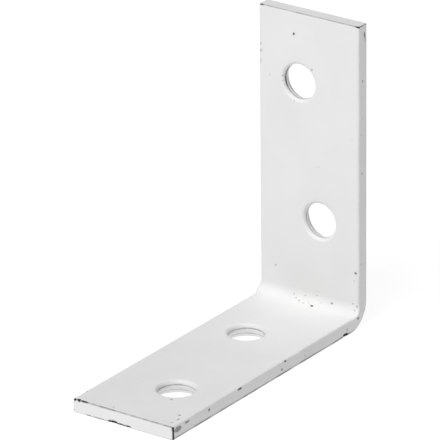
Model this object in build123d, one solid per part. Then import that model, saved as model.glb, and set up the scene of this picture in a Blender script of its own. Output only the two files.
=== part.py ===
from build123d import *
import math
import os

# Light angle bracket: one strip of steel sheet, cropped to length, punched with
# four staggered screw holes from the side that becomes the inside of the angle,
# bent once through 90 degrees and painted all over.
#
# Row frame, millimetres: X runs across the strip, the base leg lies along Y with
# its toe at -Y, the upright leg stands at the +Y end, +Z is up. The origin is the
# centre of the base leg's underside, midway between the toe and the heel plane.

# ---- driving dimensions -------------------------------------------------------
WIDTH = 14.8            # across the strip
BASE_LEG = 41.1         # heel plane (back of the upright) to the toe
UPRIGHT_LEG = 40.0      # underside to the top end
THICK = 1.83            # 1.75 sheet with about 0.04 of paint on each face
BEND_IN = 1.50          # inside radius of the fold
BEND_OUT = BEND_IN + THICK
BEND_SWELL = 0.27       # the squeezed inside of the fold stands out this much a side
BEND_DRAW = 0.05        # the stretched outside of the fold draws in this much a side
SIDE_ROUND = 0.28       # rounding of the long sheared edges under the paint
END_ROUND = 0.14        # rounding of the cropped ends, which stayed sharper
BEND_STEPS = 12         # spans between the sections of the fold

HOLE_R = 2.28           # punched bore, a clearance hole for a 4 mm screw
ENTRY_WIDE = 0.44       # rolled-in lip on the side the punch came from: how far out
ENTRY_DEEP = 0.55       # ... and how far down it reaches
HOLE_BREAK = 0.95       # depth of the torn zone on the far side
HOLE_BREAK_GROW = 0.45  # the torn zone widens this much towards the far face
HOLE_EXIT = 0.14        # softened exit edge, under the paint

# hole centres: across the strip (X), and distance from the heel plane or underside
BASE_HOLES = [(-1.43, 13.47), (1.21, 31.86)]
UPRIGHT_HOLES = [(1.48, 13.09), (-1.51, 30.86)]

HEEL = BASE_LEG / 2     # Y of the heel plane
TOE = -BASE_LEG / 2     # Y of the toe end


def section(plane, half_in, half_out):
    """Rounded cross-section of the strip. The plane's origin is on the outer face,
    its x axis runs across the strip and its y axis points to the inner face."""
    with BuildSketch(plane) as sk:
        with BuildLine():
            Polyline(
                (-half_out, 0), (half_out, 0),
                (half_in, THICK), (-half_in, THICK), close=True,
            )
        make_face()
        fillet(sk.vertices(), SIDE_ROUND)
    return sk.sketch


def bend_plane(angle):
    """Section plane of the fold, angle in degrees from the base leg's end."""
    a = math.radians(angle)
    out = Vector(0, math.sin(a), -math.cos(a))          # from the fold's axis outwards
    axis = Vector(0, HEEL - BEND_OUT, BEND_OUT)
    return Plane(origin=axis + out * BEND_OUT, x_dir=(1, 0, 0),
                 z_dir=Vector(1, 0, 0).cross(out * -1))


def swell(angle):
    return math.sin(2 * math.radians(angle)) ** 2


# ---- fold ---------------------------------------------------------------------
sections = []
for i in range(BEND_STEPS + 1):
    ang = 90.0 * i / BEND_STEPS
    s = swell(ang)
    sections.append(section(bend_plane(ang), WIDTH / 2 + BEND_SWELL * s,
                            WIDTH / 2 - BEND_DRAW * s))
fold = loft([s.face() for s in sections])

# ---- straight legs ------------------------------------------------------------
base_run = BASE_LEG - BEND_OUT
up_run = UPRIGHT_LEG - BEND_OUT
base = extrude(sections[0].face(), amount=base_run, dir=(0, -1, 0))
upright = extrude(sections[-1].face(), amount=up_run, dir=(0, 0, 1))
toe_edges = base.edges().filter_by_position(Axis.Y, TOE - 1e-4, TOE + 1e-4)
top_edges = upright.edges().filter_by_position(Axis.Z, UPRIGHT_LEG - 1e-4, UPRIGHT_LEG + 1e-4)
base = fillet(toe_edges, END_ROUND)
upright = fillet(top_edges, END_ROUND)

bracket = base + fold + upright

# ---- punched holes ------------------------------------------------------------


def punch():
    """Cutter for one hole: axis Z, the punch enters at z = THICK and leaves at 0."""
    r, w, d, x = HOLE_R, ENTRY_WIDE, ENTRY_DEEP, HOLE_EXIT
    rb = r + HOLE_BREAK_GROW
    k = 4 / 3 * (math.sqrt(2) - 1)      # quarter ellipse as one cubic curve
    with BuildPart() as cut:
        with BuildSketch(Plane.XZ):
            with BuildLine():
                Line((0, -1), (rb + x, -1))
                Line((rb + x, -1), (rb + x, 0))
                RadiusArc((rb + x, 0), (rb, x), x)
                Line((rb, x), (r, HOLE_BREAK))
                Line((r, HOLE_BREAK), (r, THICK - d))
                Bezier((r, THICK - d), (r, THICK - d + k * d),
                       (r + w - k * w, THICK), (r + w, THICK))
                Line((r + w, THICK), (r + w, THICK + 1))
                Line((r + w, THICK + 1), (0, THICK + 1))
                Line((0, THICK + 1), (0, -1))
            make_face()
        revolve(axis=Axis.Z)
    return cut.part


cutter = punch()
print("cutter volume", round(cutter.volume, 3))
for u, v in BASE_HOLES:
    bracket = bracket - Pos(u, HEEL - v, 0) * cutter
for u, v in UPRIGHT_HOLES:
    bracket = bracket - Pos(u, HEEL, v) * Rot(90, 0, 0) * cutter

solid = bracket.solid()
print("solids", len(bracket.solids()), "valid", solid.is_valid,
      "volume", round(solid.volume, 2), "box", solid.bounding_box())

os.makedirs("parts", exist_ok=True)
export_step(solid, "parts/angle_bracket.step")
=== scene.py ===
import math

import bpy
import numpy as np
from mathutils import Matrix, Vector
from mathutils.geometry import delaunay_2d_cdt


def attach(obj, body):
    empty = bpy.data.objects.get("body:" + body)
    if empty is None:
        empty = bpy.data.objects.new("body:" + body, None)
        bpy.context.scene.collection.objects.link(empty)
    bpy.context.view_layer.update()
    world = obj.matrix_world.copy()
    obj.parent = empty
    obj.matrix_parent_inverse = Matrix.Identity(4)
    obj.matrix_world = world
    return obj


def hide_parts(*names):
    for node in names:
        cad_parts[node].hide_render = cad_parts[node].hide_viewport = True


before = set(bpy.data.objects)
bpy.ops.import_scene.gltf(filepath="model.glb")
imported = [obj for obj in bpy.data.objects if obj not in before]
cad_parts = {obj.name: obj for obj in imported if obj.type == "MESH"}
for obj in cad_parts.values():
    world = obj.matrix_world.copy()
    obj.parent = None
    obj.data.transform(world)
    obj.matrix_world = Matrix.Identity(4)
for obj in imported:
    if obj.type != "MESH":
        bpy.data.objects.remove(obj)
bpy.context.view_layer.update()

# ---------------------------------------------------------------------------
# Dimensions, millimetres, the same as the CAD part's
# ---------------------------------------------------------------------------
W, LB, LU, T = 14.8, 41.1, 40.0, 1.83
RI = 1.50
RO = RI + T
SWELL, DRAW = 0.27, 0.05
R, RE = 0.28, 0.14
HEEL, TOE = LB / 2, -LB / 2
S1 = LB - RO                       # strip length to the start of the fold
SB = math.pi / 2 * (RI + RO) / 2   # length of the fold along its middle
S2 = S1 + SB
S = S2 + LU - RO
HR, EW, ED, HB, HG, HX = 2.28, 0.44, 0.55, 0.95, 0.45, 0.14
R_IN, R_OUT = HR + EW, HR + HG + HX
# holes: name, across, along the strip from the toe
HOLES = [("heel", -1.43, LB - 13.47), ("toe", 1.21, LB - 31.86),
         ("low", 1.48, S2 + 13.09 - RO), ("high", -1.51, S2 + 30.86 - RO)]


# ---------------------------------------------------------------------------
# Smooth repeatable noise
# ---------------------------------------------------------------------------
def _hash(ix, iy, iz, seed):
    m = np.int64(0xFFFFFFFF)
    h = (ix * 374761393 + iy * 668265263 + iz * 1442695041 + seed * 2246822519) & m
    h = ((h ^ (h >> 15)) * 739982445) & m
    h = ((h ^ (h >> 12)) * 695872825) & m
    return ((h ^ (h >> 15)) & m).astype(float) / 4294967296.0


def noise(q, size, seed=0):
    """Value noise from -1 to 1 at points q (N, 3), features of about size."""
    q = np.asarray(q, float) / size + 1000.0
    i = np.floor(q).astype(np.int64)
    f = q - i
    f = f * f * f * (f * (f * 6 - 15) + 10)
    out = np.zeros(len(q))
    for dx in (0, 1):
        for dy in (0, 1):
            for dz in (0, 1):
                w = (np.where(dx, f[:, 0], 1 - f[:, 0]) * np.where(dy, f[:, 1], 1 - f[:, 1])
                     * np.where(dz, f[:, 2], 1 - f[:, 2]))
                out += w * _hash(i[:, 0] + dx, i[:, 1] + dy, i[:, 2] + dz, seed)
    return out * 2 - 1


def fbm(q, size, seed=0, octaves=3):
    out, a, tot = 0, 1.0, 0
    for k in range(octaves):
        out = out + a * noise(q, size / 2 ** k, seed + 17 * k)
        tot += a
        a *= 0.5
    return out / tot


def smooth(a, b, v):
    t = np.clip((v - a) / (b - a), 0, 1)
    return t * t * (3 - 2 * t)


# ---------------------------------------------------------------------------
# The strip's surface, unrolled: p goes round the section, q along the strip
# ---------------------------------------------------------------------------
HS = (T - 2 * R) / 2
LA = math.pi * R / 2
LF = W - 2 * R
P1 = HS
P2 = P1 + LA
P3 = P2 + LF
P4 = P3 + LA
P5 = P4 + 2 * HS
P6 = P5 + LA
P7 = P6 + LF
P8 = P7 + LA
P9 = P8 + HS
E = math.pi * RE / 2
Q9 = S - 2 * RE + 2 * E


def section(p):
    """(x, n) and its outward normal, at perimeter coordinate p."""
    x, n, nx, nn = (np.zeros_like(p) for _ in range(4))
    m = p <= P1
    x[m], n[m], nx[m] = -W / 2, T / 2 + p[m], -1
    m = (p > P1) & (p <= P2)
    a = (p[m] - P1) / R
    x[m], n[m], nx[m], nn[m] = -W / 2 + R - R * np.cos(a), T - R + R * np.sin(a), -np.cos(a), np.sin(a)
    m = (p > P2) & (p <= P3)
    x[m], n[m], nn[m] = -W / 2 + R + p[m] - P2, T, 1
    m = (p > P3) & (p <= P4)
    a = (p[m] - P3) / R
    x[m], n[m], nx[m], nn[m] = W / 2 - R + R * np.sin(a), T - R + R * np.cos(a), np.sin(a), np.cos(a)
    m = (p > P4) & (p <= P5)
    x[m], n[m], nx[m] = W / 2, T - R - (p[m] - P4), 1
    m = (p > P5) & (p <= P6)
    a = (p[m] - P5) / R
    x[m], n[m], nx[m], nn[m] = W / 2 - R + R * np.cos(a), R - R * np.sin(a), np.cos(a), -np.sin(a)
    m = (p > P6) & (p <= P7)
    x[m], n[m], nn[m] = W / 2 - R - (p[m] - P6), 0, -1
    m = (p > P7) & (p <= P8)
    a = (p[m] - P7) / R
    x[m], n[m], nx[m], nn[m] = -W / 2 + R - R * np.sin(a), R - R * np.cos(a), -np.sin(a), -np.cos(a)
    m = p > P8
    x[m], n[m], nx[m] = -W / 2, R + p[m] - P8, -1
    return x, n, nx, nn


def along(q):
    """Strip coordinate s, how far the section is drawn in, and the part of the normal along the strip."""
    s, inset, ns, no = RE + q - E, np.zeros_like(q), np.zeros_like(q), np.ones_like(q)
    m = q < E
    a = q[m] / RE
    s[m], inset[m], ns[m], no[m] = RE - RE * np.cos(a), RE - RE * np.sin(a), -np.cos(a), np.sin(a)
    m = q > Q9 - E
    a = (Q9 - q[m]) / RE
    s[m], inset[m], ns[m], no[m] = S - RE + RE * np.cos(a), RE - RE * np.sin(a), np.cos(a), np.sin(a)
    return s, inset, ns, no


def place(x, n, s):
    """Row-frame point of (x, n, s), with the local directions of n and s."""
    th = np.clip((s - S1) / SB, 0, 1) * math.pi / 2
    rad = RO - n
    y = HEEL - RO + np.sin(th) * rad
    z = RO - np.cos(th) * rad
    before, after = np.minimum(s - S1, 0), np.maximum(s - S2, 0)
    y = y + before
    z = z + after
    sw = np.sin(2 * th) ** 2
    k = np.clip(n / T, 0, 1)
    grow = (-DRAW + (SWELL + DRAW) * k ** 1.3) * sw
    xx = x * (1 + grow / (W / 2))
    zero = np.zeros_like(th)
    dn = np.stack([zero, -np.sin(th), np.cos(th)], -1)
    ds = np.stack([zero, np.cos(th), np.sin(th)], -1)
    return np.stack([xx, y, z], -1), dn, ds


def at(face, a, b):
    """A row-frame point for placing a mark: face, then two coordinates in mm."""
    one = lambda x, n, s: place(np.array([x]), np.array([n]), np.array([s]))[0][0]
    if face == "base":            # a across, b from the heel plane
        return one(a, T, LB - b)
    if face == "up":              # a across, b above the underside
        return one(a, T, S2 + b - RO)
    if face == "bend":            # a across, b degrees round the fold
        return one(a, T, S1 + SB * b / 90)
    if face == "side_base":       # a from the heel plane, b above the underside
        return one(W / 2, b, LB - a)
    if face == "side_up":         # a above the underside, b from the heel plane
        return one(W / 2, b, S2 + a - RO)
    if face == "side_bend":       # a degrees, b from the outer face
        return one(W / 2, b, S1 + SB * a / 90)
    if face == "left_up":
        return one(-W / 2, b, S2 + a - RO)
    if face == "left_base":
        return one(-W / 2, b, LB - a)
    if face == "toe":             # a across, b above the underside
        return one(a, b, 0.0)
    if face == "top":             # a across, b from the heel plane
        return one(a, b, S)
    if face == "back":            # a across, b above the underside
        return one(a, 0.0, S2 + b - RO)
    if face == "under":           # a across, b from the heel plane
        return one(a, 0.0, LB - b)
    raise ValueError(face)


# ---------------------------------------------------------------------------
# Marks in the paint: (where, long axis, half length, half width, depth, how dark)
# ---------------------------------------------------------------------------
X, Y, Z = (1, 0, 0), (0, 1, 0), (0, 0, 1)
LIP_1, LIP_2 = np.array((-.078, .11, -.057)), np.array((-.156, .22, -.114))   # down onto a hole's rolled lip
MARKS = [
    # inner face of the upright
    (at("up", -2.21, 37.11), X, .13, .13, .04, .80),
    (at("up", -5.77, 30.98), X, .16, .14, .02, .12),
    (at("up", 1.34, 20.33), X, .13, .11, .02, .10),
    (at("up", 6.39, 25.08), Z, .14, .10, .02, .12),
    (at("up", 6.91, 7.47), Z, .15, .15, .04, .62),
    (at("up", 6.72, 6.4), Z, .10, .09, .02, .20),
    (at("up", -7.12, 34.79), Z, .14, .12, .03, .30),
    (at("up", -7.12, 33.92), Z, .20, .14, .03, .34),
    (at("up", -7.14, 32.6), Z, .35, .10, .02, .20),
    (at("top", -7.02, T - .05), X, .26, .13, .05, .75),
    # right side of the upright
    (at("side_up", 38.75, .62), Z, .34, .12, .04, .60),
    (at("side_up", 38.2, .50), Z, .45, .14, .02, .30),
    (at("side_up", 32.74, 1.0), Z, .13, .10, .03, .60),
    (at("side_up", 27.81, 1.06), Z, .12, .08, .02, .22),
    (at("side_up", 25.77, 1.28), Z, .12, .08, .02, .22),
    (at("side_up", 20.65, 1.14), Z, .14, .10, .03, .45),
    (at("side_up", 8.6, 1.3), Z, .14, .08, .02, .28),
    (at("side_up", 5.75, .10), Z, .55, .13, .05, .72),
    # the fold
    (at("bend", .94, 23.8), X, .12, .08, .04, .88),
    (at("bend", .70, 27.0), X, .20, .06, .02, .30),
    (at("bend", 3.40, 62.6), X, .17, .12, .03, .46),
    (at("bend", 6.53, 88), X, .12, .12, .03, .32),
    (at("bend", 7.11, 78), Z, .18, .10, .05, .42),
    (at("bend", -.55, 66.), X, .16, .10, .02, .26),
    (at("bend", 1.06, 80.), X, .18, .07, .02, .18),
    (at("up", -5.1, 5.7), X, .16, .12, .02, .22),
    (at("side_bend", 36., 1.35), Y, .26, .15, .05, .55),
    (at("side_base", 4.38, .92), Y, .15, .12, .03, .45),
    (at("side_base", 4.78, .20), Y, .46, .21, .12, 1.0),
    (at("side_base", 5.75, .09), Y, 1.25, .12, .07, .95),
    (at("side_base", 6.8, .03), Y, 1.0, .09, .04, .55),
    (at("bend", -1.6, 44.), X, .13, .07, .02, .30),
    (at("bend", -1.1, 34.), X, .20, .07, .02, .34),
    (at("bend", -.4, 28.), X, .16, .07, .02, .30),
    (at("bend", -2.1, 60.), X, .12, .08, .02, .26),
    (at("bend", .3, 36.), X, .12, .07, .02, .28),
    (at("bend", 1.9, 52.), X, .10, .08, .02, .22),
    (at("bend", 6.7, 58.), Z, .16, .08, .03, .34),
    # base leg, right side and its top edge
    (at("side_base", 17.70, 1.70), Y, .18, .12, .05, .75),
    (at("side_base", 18.50, .86), Y, .15, .12, .04, .70),
    (at("side_base", 13.58, .80), Y, .16, .10, .03, .22),
    (at("side_base", 27.35, 1.62), Y, .42, .13, .05, .66),
    (at("side_base", 33.78, 1.30), Y, .17, .13, .04, .66),
    (at("side_base", 38.3, 1.45), Y, .40, .12, .04, .50),
    (at("side_base", 40.15, 1.22), Y, .62, .30, .03, .50),
    (at("base", 5.97, 37.88), X, .17, .12, .04, .55),
    (at("base", 6.55, 38.90), Y, .26, .10, .03, .42),
    (at("base", 6.45, 40.1), X, .20, .12, .03, .28),
    # toe
    (at("toe", -7.15, T - .10), X, .15, .14, .06, .92),
    (at("toe", -6.56, T - .02), X, .19, .17, .07, 1.0),
    (at("toe", -5.75, T - .02), X, .48, .08, .05, .85),
    (at("base", -7.20, 38.62), Y, .15, .12, .04, .55),
    (at("base", -1.87, 40.39), X, .20, .12, .02, .20),
    (at("toe", -5.05, .05), X, .38, .09, .04, .62),
    (at("toe", -3.55, .05), X, .88, .09, .04, .66),
    (at("toe", -1.45, .10), X, .62, .17, .08, 1.0),
    (at("toe", -.35, .06), X, .80, .12, .06, .95),
    (at("toe", .72, .07), X, .34, .13, .06, 1.0),
    (at("toe", W / 2 - .03, 1.45), Z, .32, .14, .08, 1.0),
    (at("toe", W / 2 - .03, .85), Z, .60, .10, .06, .92),
    (at("toe", W / 2 - .03, .30), Z, .36, .11, .06, 1.0),
    # top right corner
    (at("top", W / 2 - .16, T - .10), X, .34, .11, .05, .85),
    (at("top", W / 2 - .03, 1.15), Y, .62, .09, .04, .62),
    (at("top", W / 2 - .06, .30), Y, .26, .11, .04, .45),
    # holes
    (at("base", 2.62, 34.86), X, .19, .11, .03, .50),
    (at("up", .46, 32.95), Z, .17, .08, .03, .50),
    (at("up", -3.42, 31.75), Z, .42, .10, .05, .80),
    (at("up", -3.40, 30.75), Z, .42, .10, .05, .80),
    (at("up", -3.85, 31.30) + LIP_1, X, .28, .07, .03, .45),
    (at("up", -3.80, 30.60) + LIP_1, X, .26, .06, .03, .42),
    (at("up", -3.62, 30.15) + LIP_2, X, .24, .08, .03, .36),
    (at("up", -3.62, 32.0) + LIP_2, X, .24, .06, .03, .34),
    (at("up", -2.20, 28.62), Z, .34, .09, .03, .34),
    # sides that the main view does not show: the same kind of wear, sparsely
    (at("left_up", 36.1, .9), Z, .15, .11, .03, .55),
    (at("left_up", 22.4, .35), Z, .30, .09, .03, .45),
    (at("left_up", 11.8, 1.35), Z, .14, .10, .03, .50),
    (at("left_base", 12.2, 1.1), Y, .15, .12, .03, .50),
    (at("left_base", 25.6, .12), Y, .60, .11, .05, .75),
    (at("left_base", 35.3, .9), Y, .17, .11, .03, .55),
    (at("back", 3.8, 36.2), X, .14, .12, .03, .55),
    (at("back", -5.2, 21.0), Z, .16, .10, .03, .40),
    (at("back", 6.3, 8.9), Z, .15, .13, .03, .50),
    (at("under", -4.6, 9.5), X, .22, .11, .03, .45),
    (at("under", 4.2, 24.3), Y, .15, .12, .03, .45),
    (at("under", -5.8, 36.4), Y, .35, .10, .03, .55),
]
MARKS = [(np.array(c), np.array(a, float), la, lb, d, k) for c, a, la, lb, d, k in MARKS]


def mark_reach(pos, c, a, la, lb):
    v = pos - c
    t = v @ a
    w = np.maximum((v * v).sum(-1) - t * t, 0)
    return np.sqrt((t / la) ** 2 + w / lb ** 2)


# ---------------------------------------------------------------------------
# Points of the unrolled surface
# ---------------------------------------------------------------------------
def steps(a, b, h):
    return np.linspace(a, b, max(1, int(math.ceil((b - a) / h))) + 1)


def q_of(s):
    return s - RE + E


rng = np.random.default_rng(7)
QB1, QB2 = q_of(S1), q_of(S2)


def columns(h, hb):
    return np.concatenate([steps(E, QB1 - .4, h)[1:], steps(QB1 - .4, QB2 + .4, hb)[1:],
                           steps(QB2 + .4, Q9 - E, h)[1:-1]])


end_cols = np.concatenate([np.linspace(0, E, 5)[1:], [E + .06, E + .16]])
end_cols = np.concatenate([end_cols, Q9 - end_cols])

arc = lambda a, b: np.linspace(a, b, 7)
edge_rows = np.unique(np.round(np.concatenate([
    arc(P1, P2), arc(P3, P4), arc(P5, P6), arc(P7, P8), steps(0, P1, .13), steps(P8, P9, .13),
    steps(P4, P5, .10), [P2 + .05, P3 - .05, P6 + .06, P7 - .06, P4 + .04, P5 - .04]]), 7))
in_rows = np.concatenate([[P2 + .14], steps(P2 + .32, P3 - .32, .30), [P3 - .14]])
out_rows = np.concatenate([[P6 + .2], steps(P6 + .5, P7 - .5, .50), [P7 - .2]])

grid = []


def lay(rows, cols, sp, sq):
    a, b = np.meshgrid(rows, cols, indexing="ij")
    grid.append(np.stack([a.ravel(), b.ravel(), np.full(a.size, sp), np.full(a.size, sq)], -1))


body_cols = columns(.16, .10)
body_cols = body_cols[(body_cols > E + .2) & (body_cols < Q9 - E - .2)]
lay(edge_rows[(edge_rows > 0) & (edge_rows < P9)], body_cols, .08, .16)
face_cols = columns(.30, .11)
face_cols = face_cols[(face_cols > E + .2) & (face_cols < Q9 - E - .2)]
lay(in_rows, face_cols, .30, .30)
back_cols = columns(.50, .14)
back_cols = back_cols[(back_cols > E + .2) & (back_cols < Q9 - E - .2)]
lay(out_rows, back_cols, .50, .50)
end_rows = np.concatenate([edge_rows[(edge_rows > 0) & (edge_rows < P9)], steps(P2 + .16, P3 - .16, .13),
                           steps(P6 + .16, P7 - .16, .13)])
lay(np.unique(np.round(end_rows, 7)), end_cols, .10, .08)
grid = np.concatenate(grid)

# the outline: two seams along the middle of the left side, and the rims of the two end faces
seam_q = np.unique(np.round(np.concatenate([[0], end_cols, body_cols, [Q9]]), 7))
rim_p = np.unique(np.round(np.concatenate([
    arc(P1, P2), arc(P3, P4), arc(P5, P6), arc(P7, P8), steps(0, P1, .10), steps(P2, P3, .10),
    steps(P4, P5, .09), steps(P6, P7, .10), steps(P8, P9, .10)]), 7))


def base_position(pq):
    x, n, nx, nn = section(pq[:, 0])
    s, inset, ns, no = along(pq[:, 1])
    pos, dn, ds = place(x - inset * nx, n - inset * nn, s)
    nor = nx[:, None] * np.array([1., 0, 0]) * no[:, None] + (nn * no)[:, None] * dn + ns[:, None] * ds
    return pos, nor


# finer points round each mark and over the rough paint in the fold
base_pos, _ = base_position(grid[:, :2])
extra = []
PATCH = (-2.6, 3.2, S1 - 1.9, S2 + 3.4)   # x and s range of the rough paint


def refine(picked, h):
    for p, q, sp, sq in picked:
        kp, kq = max(1, int(round(sp / h))), max(1, int(round(sq / h)))
        for i in range(kp + 1):
            for j in range(kq + 1):
                if 0 < i < kp or 0 < j < kq or True:
                    extra.append((p + sp * (i / kp - .5), q + sq * (j / kq - .5)))


near = np.zeros(len(grid), bool)
for c, a, la, lb, d, k in MARKS:
    v = base_pos - c
    close = (np.abs(v) < la + lb + .7).all(-1)
    idx = np.nonzero(close)[0]
    if len(idx):
        r = mark_reach(base_pos[idx], c, a, la + .12, lb + .16)
        near[idx[r < 1]] = True
        if not (r < 1).any():
            near[idx[np.argmin(r)]] = True
refine(grid[near], .055)
gx, gn, _, _ = section(grid[:, 0])
gs = along(grid[:, 1])[0]
on_inner = (grid[:, 0] >= P2) & (grid[:, 0] <= P3)
patch_pick = on_inner & (gx > PATCH[0]) & (gx < PATCH[1]) & (gs > PATCH[2]) & (gs < PATCH[3]) & ~near
refine(grid[patch_pick], .12)
extra = np.array(extra)
extra = extra[(extra[:, 0] > .03) & (extra[:, 0] < P9 - .03) & (extra[:, 1] > .03) & (extra[:, 1] < Q9 - .03)]

pts = np.concatenate([grid[:, :2], extra])

# rings round the holes on both faces
RING_IN = [0, .05, .12, .21, .33, .50, .75]
RING_OUT = [0, .06, .16, .34, .62]
NA = 144
ang = np.arange(NA) * 2 * math.pi / NA
rings = []      # (hole, side, first index) of the innermost ring; left empty, ring_start below holds the first index of each ring
keep = np.ones(len(pts), bool)
ring_pts = []
for h, (name, u, s) in enumerate(HOLES):
    for side, r0, offs in (("in", R_IN, RING_IN), ("out", R_OUT, RING_OUT)):
        sgn = 1 if side == "in" else -1
        pc = P2 + (u + LF / 2) if side == "in" else P6 + (LF / 2 - u)
        d = np.hypot(pts[:, 0] - pc, pts[:, 1] - q_of(s))
        fine = np.arange(len(pts)) >= len(grid)
        keep &= d > np.where(fine, r0 + .04, r0 + offs[-1] + .10)
        for k, off in enumerate(offs):
            turn = ang + (0 if k % 2 == 0 else math.pi / NA) * (k > 3)
            ring_pts.append((h, side, k, np.stack([pc + sgn * (r0 + off) * np.cos(turn),
                                                   q_of(s) + (r0 + off) * np.sin(turn)], -1)))
pts = pts[keep]
# fine points that fell on the rings' band are kept off the ring points themselves
allrings = np.concatenate([r[3] for r in ring_pts])


def thin_out(points, others, gap):
    """Drops points closer than gap to others or to an earlier point."""
    cell = {}
    for p, q in others:
        cell.setdefault((int(p / gap), int(q / gap)), []).append((p, q))
    out = []
    g2 = gap * gap
    for p, q in points:
        a, b = int(p / gap), int(q / gap)
        ok = True
        for i in (a - 1, a, a + 1):
            for j in (b - 1, b, b + 1):
                for (x, y) in cell.get((i, j), ()):
                    if (x - p) ** 2 + (y - q) ** 2 < g2:
                        ok = False
                        break
                if not ok:
                    break
            if not ok:
                break
        if ok:
            out.append((p, q))
            cell.setdefault((a, b), []).append((p, q))
    return np.array(out)


pts = thin_out([tuple(v) for v in pts], [tuple(v) for v in allrings], .030)

# outline points in order: rim at q = 0, seam at p = P9, rim at q = Q9 backwards, seam at p = 0 backwards
outline = ([(p, 0.0) for p in rim_p] + [(P9, q) for q in seam_q[1:-1]]
           + [(p, Q9) for p in rim_p[::-1]] + [(0.0, q) for q in seam_q[1:-1][::-1]])
rim_p = rim_p.copy()
rim_p[0], rim_p[-1] = 0.0, P9
outline = [(float(a), float(b)) for a, b in outline]
outline[0] = (0.0, 0.0)
outline[len(rim_p) - 1] = (P9, 0.0)
n_out = len(outline)

verts2 = list(outline)
edges2 = [(i, (i + 1) % n_out) for i in range(n_out)]
ring_start = {}
for h, side, k, rp in ring_pts:
    ring_start[(h, side, k)] = len(verts2)
    first = len(verts2)
    verts2 += [tuple(v) for v in rp]
    if k == 0:
        edges2 += [(first + j, first + (j + 1) % NA) for j in range(NA)]
verts2 += [tuple(v) for v in pts]


def cdt(points, edges):
    v, e, f, ov, oe, of_ = delaunay_2d_cdt([Vector(p) for p in points], edges, [], 1, 1e-7, True)
    back = []
    for ids in ov:
        if not ids:
            raise RuntimeError("the triangulation added a point")
        back.append(ids[0])
    return np.array([[back[i] for i in t] for t in f], dtype=np.int64)


tri = cdt(verts2, edges2)
pq = np.array(verts2)
# open the holes: drop triangles made of one hole's first ring alone
ring_id = np.full(len(pq), -1)
for (h, side, k), first in ring_start.items():
    if k == 0:
        ring_id[first:first + NA] = h * 2 + (side == "out")
rid = ring_id[tri]
tri = tri[~((rid[:, 0] >= 0) & (rid[:, 0] == rid[:, 1]) & (rid[:, 1] == rid[:, 2]))]

pos, nor = base_position(pq)
shell_x, shell_n, _, _ = section(pq[:, 0])
shell_s = along(pq[:, 1])[0]

# join the two seams
n_rim, n_seam = len(rim_p), len(seam_q) - 2
merge = np.arange(len(pq))
start_right = n_rim                      # p = P9, q rising
start_top = n_rim + n_seam               # q = Q9, p falling
start_left = 2 * n_rim + n_seam          # p = 0, q falling
for i in range(n_seam):
    merge[start_right + i] = start_left + (n_seam - 1 - i)
merge[n_rim - 1] = 0                     # (P9, 0) is (0, 0)
merge[start_top] = start_top + n_rim - 1   # (P9, Q9) is (0, Q9)
tri = merge[tri]

vert_pos, vert_nor = [pos], [nor]
vert_kind = [np.zeros(len(pos))]         # 0 shell, 1 hole wall, 2 toe cap, 3 top cap
vert_lip = [np.zeros(len(pos))]
count = len(pos)
faces = [tri]

# ---- hole walls -----------------------------------------------------------
rows = []
for i in range(1, 11):
    a = i / 11 * math.pi / 2
    nr, nn_ = math.sin(a) / EW, math.cos(a) / ED
    nl = math.hypot(nr, nn_)
    rows.append((HR + EW - EW * math.sin(a), T - ED + ED * math.cos(a), nr / nl, nn_ / nl))
for n in np.linspace(T - ED, HB, 5):
    rows.append((HR, n, 1.0, 0.0))
cone = math.hypot(HG, HB - HX)
for n in np.linspace(HB, HX, 8)[1:]:
    rows.append((HR + HG * (HB - n) / (HB - HX), n, (HB - HX) / cone, -HG / cone))
for i in range(1, 4):
    a = i / 4 * math.pi / 2
    rows.append((HR + HG + HX - HX * math.cos(a), HX - HX * math.sin(a), math.cos(a), -math.sin(a)))

wall_ids = []
for h, (name, u, s0) in enumerate(HOLES):
    prev = ring_start[(h, "in", 0)] + np.arange(NA)
    nrow = len(rows)
    for k, (rho, n, nr, nn_) in enumerate(rows):
        ring_dir = np.stack([np.cos(ang), np.sin(ang)], -1)
        q3 = np.stack([np.cos(ang) * 2.3, np.sin(ang) * 2.3, np.full(NA, n)], -1) + h * 37.0
        # the torn zone near the exit is uneven, the burnished wall nearly true
        torn = smooth(HB, HB - .35, n)
        wob = .010 * noise(q3, .9, 5) + torn * (.022 * noise(q3 * [1, 1, .4], .33, 9) + .012 * noise(q3, .16, 4))
        fade = 1.0 if 0 < k < nrow - 1 else .5
        rr = rho + np.clip(wob + .004 * torn, -.01 - .02 * torn, .05) * fade * smooth(T, T - ED, n)
        pos_r, dn, ds = place(u + rr * np.cos(ang), np.full(NA, n), s0 + rr * np.sin(ang))
        nor_r = -nr * (ring_dir[:, :1] * np.array([1., 0, 0]) + ring_dir[:, 1:] * ds) + nn_ * dn
        vert_pos.append(pos_r)
        vert_nor.append(nor_r)
        vert_kind.append(np.full(NA, 1.0))
        vert_lip.append(np.full(NA, 0.0))
        cur = count + np.arange(NA)
        count += NA
        a0, a1 = prev, np.roll(prev, -1)
        b0, b1 = cur, np.roll(cur, -1)
        faces.append(np.stack([a0, b0, b1], -1))
        faces.append(np.stack([a0, b1, a1], -1))
        wall_ids.append((h, k, cur))
        prev = cur
    last = ring_start[(h, "out", 0)] + np.arange(NA)
    a0, a1 = prev, np.roll(prev, -1)
    b0, b1 = last, np.roll(last, -1)
    faces.append(np.stack([a0, b0, b1], -1))
    faces.append(np.stack([a0, b1, a1], -1))

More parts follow.
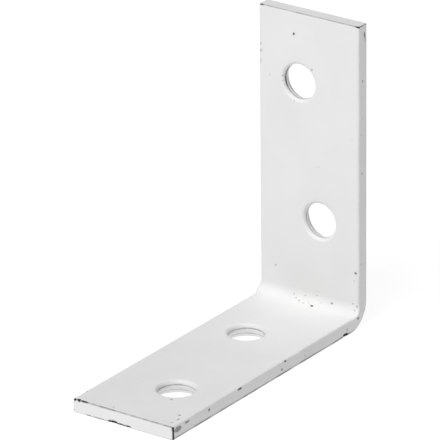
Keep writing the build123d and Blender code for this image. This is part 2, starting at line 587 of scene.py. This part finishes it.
# ---- end caps -------------------------------------------------------------
for kind, first, order, s_end, ns in ((2, 0, 1, 0.0, -1.0), (3, start_top, -1, S, 1.0)):
    ids = first + np.arange(n_rim)
    if order == -1:
        ids = ids[::-1]
    ids = ids[:-1]                        # p = P9 is p = 0
    if kind == 3:
        ids = merge[ids]
    xs, nsn, nx, nn_ = section(rim_p[:-1])
    xs, nsn = xs - RE * nx, nsn - RE * nn_
    inner = []
    for v in steps(RE + .10, T - RE - .10, .11):
        for x in steps(-W / 2 + RE + .10, W / 2 - RE - .10, .12):
            inner.append((x, v))
    p2 = [(float(a), float(b)) for a, b in zip(xs, nsn)] + inner
    f2 = cdt(p2, [(i, (i + 1) % len(ids)) for i in range(len(ids))])
    base = count
    xi = np.array(inner)
    pos_c, dn, ds = place(xi[:, 0], xi[:, 1], np.full(len(xi), s_end))
    vert_pos.append(pos_c)
    vert_nor.append(ds * ns)
    vert_kind.append(np.full(len(xi), float(kind)))
    vert_lip.append(np.zeros(len(xi)))
    count += len(xi)
    table = np.concatenate([ids, base + np.arange(len(xi))])
    f3 = table[f2]
    faces.append(f3 if kind == 3 else f3)

pos = np.concatenate(vert_pos)
nor = np.concatenate(vert_nor)
kind = np.concatenate(vert_kind)
nor /= np.maximum(np.linalg.norm(nor, axis=1), 1e-9)[:, None]
faces = np.concatenate(faces)

# every triangle faces outwards
tn = np.cross(pos[faces[:, 1]] - pos[faces[:, 0]], pos[faces[:, 2]] - pos[faces[:, 0]])
want = nor[faces].sum(1)
flip = (tn * want).sum(-1) < 0
faces[flip] = faces[flip][:, ::-1]

# ---------------------------------------------------------------------------
# Where each point is on the bracket, for the relief and the paint
# ---------------------------------------------------------------------------
n_shell = len(pq)
x_, n_, s_ = np.zeros(count), np.zeros(count), np.zeros(count)
p_all = np.full(count, -1.0)
x_[:n_shell], n_[:n_shell], s_[:n_shell] = shell_x, shell_n, shell_s
p_all[:n_shell] = pq[:, 0]
shell = np.arange(count) < n_shell
inner_face = shell & (p_all >= P2) & (p_all <= P3)
outer_face = shell & (p_all >= P6) & (p_all <= P7)

depth = np.zeros(count)      # inwards along the normal
dark = np.zeros(count)       # paint pulled thin along an edge, and painted contact shade along the base leg's lower side edges
thin_paint_and_shade = np.zeros(count)       # paint pulled thin along an edge
rough = np.zeros(count)      # the lumpy patch of paint in the fold

# gentle dish round each hole on the side the punch came from
for h, (name, u, s0) in enumerate(HOLES):
    d = np.hypot(shell_x - u, shell_s - s0) - R_IN
    dish = .022 * np.exp(-np.clip(d, 0, None) / .30)
    depth[:n_shell] += np.where(inner_face[:n_shell], dish, 0)
for h, k, ids in wall_ids:
    rho, n, nr, nn_ = rows[k]
    depth[ids] += .022 * nn_ if n > T / 2 else 0

# sheared long edges: slightly wavy, with a shallow step where the shear let go
side_r = shell & (p_all > P3) & (p_all < P6)
side_l = shell & ((p_all < P2) | (p_all > P7))
for m in (side_r, side_l):
    q3 = np.stack([x_, n_ * 1.0, s_], -1)[m]
    wave = .010 + .008 * noise(q3, 2.6, 3) + .004 * noise(q3, .7, 8)
    step = smooth(.95, .55, n_[m]) * (.012 + .010 * noise(q3 * [1, 1, 1], 1.3, 12)) * smooth(.0, .3, n_[m])
    depth[m] += np.clip(wave + step, 0, None) * .9

# cropped ends: the same, a little rougher
for kk, s_end in ((2, 0.0), (3, S)):
    m = kind == kk
    q3 = pos[m]
    depth[m] += .010 + .006 * noise(q3 * [1, 3, 3], 1.6, 21) + .004 * noise(q3, .4, 22)

# lumpy paint in the fold
fx = smooth(PATCH[0], PATCH[0] + 1.6, x_) * smooth(PATCH[1], PATCH[1] - 2.2, x_)
fs = smooth(PATCH[2], PATCH[2] + 1.4, s_) * smooth(PATCH[3], PATCH[3] - 2.2, s_)
amount = np.where(inner_face, fx * fs, 0)
q3 = np.stack([x_, n_, s_], -1)
lump = noise(q3, .62, 31) * .6 + noise(q3 * [1, 1, 1.2], .30, 32) * .4
depth += amount * (.030 + .034 * lump)
rough += amount

# marks
for c, a, la, lb, d, k in MARKS:
    if k > .8:
        la, lb, k = la * 1.30, lb * 1.65, 1.25
    elif k > .4:
        la, lb, k = la * 1.10, lb * 1.18, k * 1.22
    else:
        k *= 1.25
    v = pos - c
    close = np.nonzero((np.abs(v) < la + lb + .4).all(-1))[0]
    if not len(close):
        continue
    r = mark_reach(pos[close], c, a, la, lb)
    r = r * (1 + .22 * noise(pos[close] * 1.0, .16, 41) + .12 * noise(pos[close], .07, 42))
    f = smooth(1.18, .72, r)
    depth[close] = np.maximum(depth[close], f * d * .9 + depth[close] * (1 - f))
    dark[close] = np.maximum(dark[close], smooth(1.22, .78, r) * k)

# paint pulled thin on the sharp cropped edges; on the sides, faint thin-paint lines plus a painted contact shade
# line along the base leg's lower edges; dark lines round the hole walls at the lip and near the exit
nq = np.stack([x_, n_ * 0, s_], -1)
for s_end, kk, hi, lo in ((0.0, 2, .92, .22), (S, 3, .80, .40)):
    q_pos = np.where(shell, np.minimum(np.abs(s_ - s_end), 9), 9.0)
    m = shell & (q_pos < RE * 1.2)
    crest = np.exp(-((q_pos - .035) / .055) ** 2)
    upper = smooth(T * .6, T * .9, n_)
    lower = 1 - upper
    along_noise = .84 + .22 * noise(nq, .8, 51)
    thin_paint_and_shade[m] = np.maximum(thin_paint_and_shade[m], (crest * (upper * hi + lower * lo) * along_noise)[m])
side = side_r | side_l
# painted shade: the line near the outer face is made much darker along the base leg, standing in for the floor's
# contact shade on its lower edges; elsewhere it is thin paint
floor_shade_on_base = smooth(S1 + 1.5, S1 - .5, s_)
line_noise = np.clip(.80 + .45 * noise(nq, 1.7, 52) + .20 * noise(nq, .45, 53), 0, 2)
outer_edge_line_and_floor_shade = np.exp(-((n_ - .24) / .11) ** 2) * (.12 + .95 * floor_shade_on_base)
inner_line = np.exp(-((n_ - (T - .13)) / .09) ** 2) * .20
thin_paint_and_shade = np.where(side, np.maximum(thin_paint_and_shade, (outer_edge_line_and_floor_shade + inner_line) * line_noise), thin_paint_and_shade)
for h, k, ids in wall_ids:
    rho, n, nr, nn_ = rows[k]
    q3 = np.stack([np.cos(ang) * 2.3, np.sin(ang) * 2.3, np.full(NA, 0.0)], -1) + h * 11.0
    lip = math.exp(-((n - (T - ED - .02)) / .085) ** 2)
    on_floor = HOLES[h][0] in ("heel", "toe")
    exit_ = (math.exp(-((n - .52) / .09) ** 2) * .9 if on_floor else math.exp(-((n - .09) / .10) ** 2))
    thin_paint_and_shade[ids] = np.maximum(thin_paint_and_shade[ids], lip * (.66 + .22 * noise(q3, 1.1, 61)))
    thin_paint_and_shade[ids] = np.maximum(thin_paint_and_shade[ids], exit_ * (.58 + .25 * noise(q3, .8, 62)))

# the upper hole's left wall is bare steel in places
for h, k, ids in wall_ids:
    if HOLES[h][0] == "high":
        rho, n, nr, nn_ = rows[k]
        turn = np.abs((np.degrees(ang) - 168 + 180) % 360 - 180)
        q3 = np.stack([np.cos(ang) * 2.3, np.sin(ang) * 2.3, np.full(NA, n * 2.0)], -1)
        bare = smooth(62, 22, turn) * (math.exp(-((n - (T - ED + .03)) / .15) ** 2)
                                       + .8 * math.exp(-((n - .22) / .12) ** 2))
        dark[ids] = np.maximum(dark[ids], np.clip(bare * (.92 + .34 * noise(q3, .42, 71)), 0, 1))

depth = np.maximum(depth, 0)
pos = pos - nor * depth[:, None]

# ---------------------------------------------------------------------------
# The mesh
# ---------------------------------------------------------------------------
used = np.zeros(count, bool)
used[faces.ravel()] = True
new_id = np.cumsum(used) - 1
faces = new_id[faces]
sel = np.nonzero(used)[0]
co = pos[sel] / 1000.0

mesh = bpy.data.meshes.new("painted_bracket")
mesh.vertices.add(len(co))
mesh.vertices.foreach_set("co", co.astype(np.float32).ravel())
mesh.loops.add(len(faces) * 3)
mesh.loops.foreach_set("vertex_index", faces.astype(np.int32).ravel())
mesh.polygons.add(len(faces))
mesh.polygons.foreach_set("loop_start", (np.arange(len(faces)) * 3).astype(np.int32))
mesh.polygons.foreach_set("loop_total", np.full(len(faces), 3, np.int32))
mesh.polygons.foreach_set("use_smooth", np.ones(len(faces), bool))
mesh.update(calc_edges=True)
mesh.validate()
for name, values in (("dark", dark), ("thin_paint_and_shade", thin_paint_and_shade), ("rough", rough)):
    at_ = mesh.attributes.new(name, "FLOAT", "POINT")
    at_.data.foreach_set("value", values[sel].astype(np.float32))

bracket = bpy.data.objects.new("painted_bracket", mesh)
bpy.context.scene.collection.objects.link(bracket)
print("triangles", len(faces), "points", len(co))


# ---------------------------------------------------------------------------
# Paint
# ---------------------------------------------------------------------------
def node(nt, kind_, **props):
    n = nt.nodes.new(kind_)
    for k, v in props.items():
        if k == "inputs":
            for name, value in v.items():
                n.inputs[name].default_value = value
        else:
            setattr(n, k, v)
    return n


def noise_node(nt, coord, scale, detail=3.0, rough_=.5):
    n = node(nt, "ShaderNodeTexNoise", inputs={"Scale": scale, "Detail": detail, "Roughness": rough_})
    nt.links.new(coord, n.inputs["Vector"])
    return n.outputs["Fac"]


def ramp(nt, fac, stops):
    n = node(nt, "ShaderNodeValToRGB")
    cr = n.color_ramp
    while len(cr.elements) > 1:
        cr.elements.remove(cr.elements[-1])
    cr.elements[0].position, cr.elements[0].color = stops[0][0], (*stops[0][1], 1)
    for pos_, col in stops[1:]:
        e = cr.elements.new(pos_)
        e.color = (*col, 1)
    nt.links.new(fac, n.inputs["Fac"])
    return n.outputs["Color"]


def mix(nt, fac, a, b):
    n = node(nt, "ShaderNodeMix", data_type="RGBA")
    for sock, v in ((n.inputs["Factor"], fac), (n.inputs["A"], a), (n.inputs["B"], b)):
        pass
    ins = {i.identifier: i for i in n.inputs}
    for key, v in (("Factor_Float", fac), ("A_Color", a), ("B_Color", b)):
        if isinstance(v, bpy.types.NodeSocket):
            nt.links.new(v, ins[key])
        else:
            ins[key].default_value = v if key == "Factor_Float" else (*v, 1)
    return [o for o in n.outputs if o.identifier == "Result_Color"][0]


def math_node(nt, op, a, b=None, c=None, clamp=False):
    n = node(nt, "ShaderNodeMath", operation=op, use_clamp=clamp)
    for i, v in enumerate((a, b, c)):
        if v is None:
            continue
        if isinstance(v, bpy.types.NodeSocket):
            nt.links.new(v, n.inputs[i])
        else:
            n.inputs[i].default_value = v
    return n.outputs[0]


def make_paint():
    mat = bpy.data.materials.new("white_paint")
    mat.use_nodes = True
    nt = mat.node_tree
    nt.nodes.clear()
    out = node(nt, "ShaderNodeOutputMaterial")
    bsdf = node(nt, "ShaderNodeBsdfPrincipled")
    nt.links.new(bsdf.outputs["BSDF"], out.inputs["Surface"])
    coord = node(nt, "ShaderNodeTexCoord").outputs["Object"]
    a_dark = node(nt, "ShaderNodeAttribute", attribute_name="dark").outputs["Fac"]
    a_thin_paint_and_shade = node(nt, "ShaderNodeAttribute", attribute_name="thin_paint_and_shade").outputs["Fac"]
    a_rough = node(nt, "ShaderNodeAttribute", attribute_name="rough").outputs["Fac"]

    # paint colour: broad faint clouds, finer mottling, a few dust specks
    cloud = noise_node(nt, coord, 160.0, 2.0)
    tone = ramp(nt, cloud, [(.30, (.785, .785, .790)), (.70, (.815, .814, .812))])
    mottle = noise_node(nt, coord, 1900.0, 3.0)
    tone = mix(nt, math_node(nt, "MULTIPLY", mottle, .10), tone, (.74, .74, .745))
    tone = mix(nt, math_node(nt, "MULTIPLY", a_rough, .45), tone, (.80, .80, .775))
    # thin paint, and painted contact shade along the base leg's lower edges, broken up
    brk = noise_node(nt, coord, 2600.0, 2.0)
    thin_paint_and_shade_f = math_node(nt, "MULTIPLY", a_thin_paint_and_shade, math_node(nt, "MULTIPLY_ADD", brk, .9, .55), clamp=True)
    tone = mix(nt, thin_paint_and_shade_f, tone, (.18, .18, .185))
    # marks: dark steel and dirt, with a ragged outline
    rag = noise_node(nt, coord, 7000.0, 2.0)
    dark_f = math_node(nt, "ADD", a_dark, math_node(nt, "MULTIPLY_ADD", rag, .30, -.15))
    dark_f = math_node(nt, "MULTIPLY", dark_f, math_node(nt, "GREATER_THAN", a_dark, .004), clamp=True)
    tone = mix(nt, dark_f, tone, (.020, .019, .019))
    nt.links.new(tone, bsdf.inputs["Base Color"])

    # gloss
    smear = noise_node(nt, coord, 420.0, 3.0)
    rgh = math_node(nt, "MULTIPLY_ADD", smear, .14, .47)
    rgh = math_node(nt, "ADD", rgh, math_node(nt, "MULTIPLY", a_rough, .12))
    rgh = math_node(nt, "ADD", rgh, math_node(nt, "MULTIPLY", dark_f, .20), clamp=True)
    nt.links.new(rgh, bsdf.inputs["Roughness"])
    bsdf.inputs["IOR"].default_value = 1.48
    bsdf.inputs["Specular IOR Level"].default_value = .38

    # orange peel and a finer grain
    peel = noise_node(nt, coord, 900.0, 2.0)
    grain = noise_node(nt, coord, 5200.0, 2.0)
    hgt = math_node(nt, "MULTIPLY_ADD", grain, .18, peel)
    bump = node(nt, "ShaderNodeBump", inputs={"Strength": .35, "Distance": .000010})
    nt.links.new(hgt, bump.inputs["Height"])
    nt.links.new(bump.outputs["Normal"], bsdf.inputs["Normal"])
    return mat


paint = make_paint()
mesh.materials.append(paint)
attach(bracket, "root")
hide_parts("angle_bracket")
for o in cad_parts.values():
    for slot_ in o.material_slots:
        slot_.material = paint

# ---------------------------------------------------------------------------
# Floor, light, camera
# ---------------------------------------------------------------------------
FLOOR_COL, FLOOR_GLOW = .12, .93
fm = bpy.data.materials.new("floor_white")
fm.use_nodes = True
fb = fm.node_tree.nodes["Principled BSDF"]
fb.inputs["Base Color"].default_value = (FLOOR_COL, FLOOR_COL, FLOOR_COL, 1)
fb.inputs["Roughness"].default_value = .9
fb.inputs["Specular IOR Level"].default_value = 0
fb.inputs["Emission Color"].default_value = (1, 1, 1, 1)
fb.inputs["Emission Strength"].default_value = FLOOR_GLOW
g = 3.0
fl = bpy.data.meshes.new("floor")
fz = -.00003     # just under the bracket, so the two faces never share a plane
fl.from_pydata([(-g, -g, fz), (g, -g, fz), (g, g, fz), (-g, g, fz)], [], [(0, 1, 2, 3)])
fl.materials.append(fm)
floor = bpy.data.objects.new("floor", fl)
bpy.context.scene.collection.objects.link(floor)

scene = bpy.context.scene
scene.view_settings.view_transform = "Standard"
world = bpy.data.worlds.new("studio")
scene.world = world
world.use_nodes = True
world.node_tree.nodes["Background"].inputs["Color"].default_value = (1, 1, 1, 1)
world.node_tree.nodes["Background"].inputs["Strength"].default_value = .15


def area(name, loc, target, size, power):
    d = bpy.data.lights.new(name, "AREA")
    d.shape = "SQUARE"
    d.size = size
    d.energy = power
    o = bpy.data.objects.new(name, d)
    o.location = loc
    o.rotation_mode = "QUATERNION"
    o.rotation_quaternion = (Vector(loc) - Vector(target)).to_track_quat("Z", "Y")
    scene.collection.objects.link(o)
    return o


mid = (0, 0, .015)
area("key", (.0, -1.21, 2.185), mid, 1.2, 57.0)

# camera: long lens, a little above, the toe towards it on the left
cam_d = bpy.data.cameras.new("camera")
cam = bpy.data.objects.new("camera", cam_d)
scene.collection.objects.link(cam)
cam_d.sensor_width = 36
cam_d.lens = 473.54
cam_d.clip_start, cam_d.clip_end = .01, 50
az, el, roll = (math.radians(v) for v in (35.48, 22.93, -.546))
back = Vector((math.sin(az) * math.cos(el), -math.cos(az) * math.cos(el), math.sin(el)))
right = Vector((math.cos(az), math.sin(az), 0))
up = right.cross(-back)
right2 = math.cos(roll) * right + math.sin(roll) * up
up2 = -math.sin(roll) * right + math.cos(roll) * up
CAM_AT = Vector((.37295153, -.52349843, .29144739))
cam.matrix_world = Matrix(((right2.x, up2.x, back.x, CAM_AT.x), (right2.y, up2.y, back.y, CAM_AT.y),
                           (right2.z, up2.z, back.z, CAM_AT.z), (0, 0, 0, 1)))
scene.camera = cam
